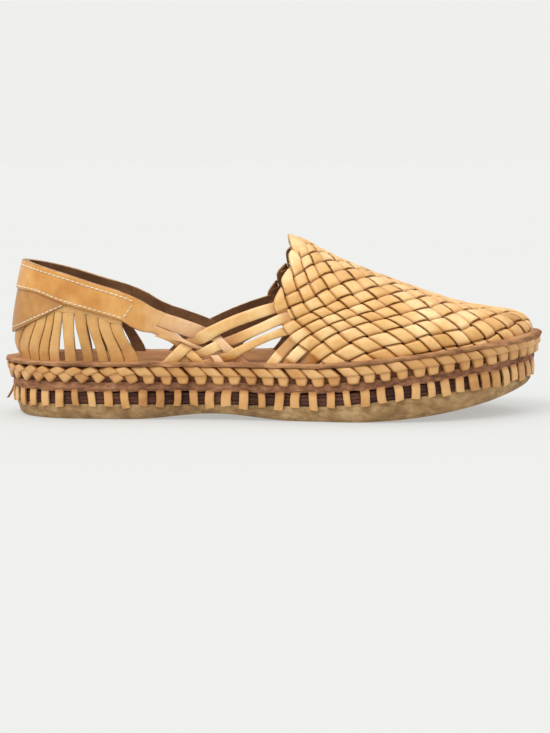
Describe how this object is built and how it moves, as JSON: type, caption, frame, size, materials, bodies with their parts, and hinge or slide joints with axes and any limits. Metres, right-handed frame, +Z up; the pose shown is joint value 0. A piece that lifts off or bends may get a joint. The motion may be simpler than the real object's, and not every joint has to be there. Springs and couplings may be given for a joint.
{
  "type": "huarache sandal",
  "caption": "Right woven leather sandal with a closed woven toe, crossing side straps, a slit heel under a stitched collar band, and a layered lashed sole",
  "frame": {"origin": "centre of the shoe's box, on the floor plane that the heel and ball of the sole rest on", "axes": "+X from heel to toe, +Y to the inner side of the foot, +Z up"},
  "size_m": [0.2897, 0.1008, 0.0951],
  "materials": {
    "outsole": "matte mottled crepe rubber",
    "midsole": "matte dark brown",
    "sole_lashing": "smooth tan thong",
    "welt": "rough cut edge",
    "edge_braid": "smooth tan thong",
    "footbed": "matte brown",
    "upper": "honey tan with soft sheen",
    "heel_band": "orange tan with soft sheen",
    "counter_patch": "pinkish tan, worn"
  },
  "bodies": {
    "root": {"outsole": "outsole", "midsole": "midsole", "sole_lashing": "sole_lashing", "welt": "welt", "edge_braid": "edge_braid", "footbed": "footbed", "upper": "upper", "heel_band": "heel_band", "counter_patch": "counter_patch"}
  },
  "joints": []
}
